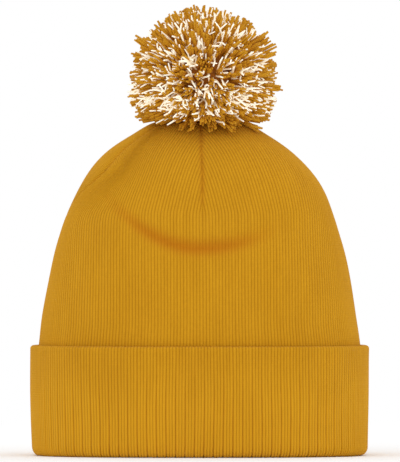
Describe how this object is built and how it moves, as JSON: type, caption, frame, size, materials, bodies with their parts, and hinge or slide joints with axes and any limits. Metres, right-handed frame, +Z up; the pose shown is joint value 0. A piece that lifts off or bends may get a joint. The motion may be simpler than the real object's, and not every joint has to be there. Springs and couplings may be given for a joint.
{
  "type": "knit beanie",
  "caption": "Ribbed double-knit beanie with a turned-up cuff and a two-tone yarn pom-pom that tilts on its tie.",
  "frame": {"origin": "middle of the hem, on the surface the hat stands on", "axes": "+Z up through the crown and the pom-pom, -Y towards the front, +X to the viewer's right when facing the front"},
  "size_m": [0.222, 0.1608, 0.2945],
  "materials": {
    "knit": "mustard yellow fine rib knit, soft matte",
    "lining_knit": "mustard yellow fine inner knit, soft matte",
    "cuff_knit": "mustard yellow deep rib knit, soft matte",
    "seam_yarn": "mustard yarn in flat seams and gathers",
    "pompom_yarn": "mustard yellow cut yarn, brushed ends",
    "pompom_cream": "cream cut yarn, brushed ends",
    "tie_yarn": "twisted mustard yarn",
    "label_fabric": "blank woven ribbon"
  },
  "bodies": {
    "cuff": {"cuff_outer_layer": "cuff_knit", "cuff_inner_layer": "cuff_knit", "cuff_back_seam": "seam_yarn"},
    "hat_body": {"outer_shell": "knit", "lining_shell": "lining_knit", "front_dart_seam": "seam_yarn", "back_dart_seam": "seam_yarn", "left_dart_seam": "seam_yarn", "right_dart_seam": "seam_yarn", "back_seam": "seam_yarn", "lining_dart_seams": "seam_yarn", "lining_back_seam": "seam_yarn", "crown_gather_thread": "seam_yarn", "lining_gather_thread": "seam_yarn", "pompom_anchor_knot": "tie_yarn", "label_stitches": "label_fabric"},
    "label": {"care_label": "label_fabric"},
    "tie_knot": {"pompom_tie_knot": "tie_yarn"},
    "tie_tails": {"pompom_tie_tails": "tie_yarn"},
    "pompom": {"pompom_binding": "tie_yarn", "pompom_mustard_yarn": "pompom_yarn", "pompom_white_yarn": "pompom_cream"}
  },
  "joints": [
    {"name": "cuff_turn_down", "type": "slide", "parent": "cuff", "child": "hat_body", "axis": [0, 0, 1], "range_m": [0, 0.0643]},
    {"name": "pompom_side_tilt", "type": "hinge", "parent": "hat_body", "child": "tie_knot", "pos_m": [0, 0, 0.223], "axis": [0, 1, 0], "range_deg": [-12, 12], "stiffness_Nm_per_rad": 0.08},
    {"name": "pompom_nod", "type": "hinge", "parent": "tie_knot", "child": "tie_tails", "pos_m": [0, 0, 0.223], "axis": [1, 0, 0], "range_deg": [-12, 12], "stiffness_Nm_per_rad": 0.08},
    {"name": "pompom_twist", "type": "hinge", "parent": "tie_tails", "child": "pompom", "pos_m": [0, 0, 0.247], "axis": [0, 0, 1], "range_deg": [-40, 40], "stiffness_Nm_per_rad": 0.02},
    {"name": "label_flap", "type": "hinge", "parent": "hat_body", "child": "label", "pos_m": [0, 0.067, 0.062], "axis": [-1, 0, 0], "range_deg": [0, 80]}
  ]
}
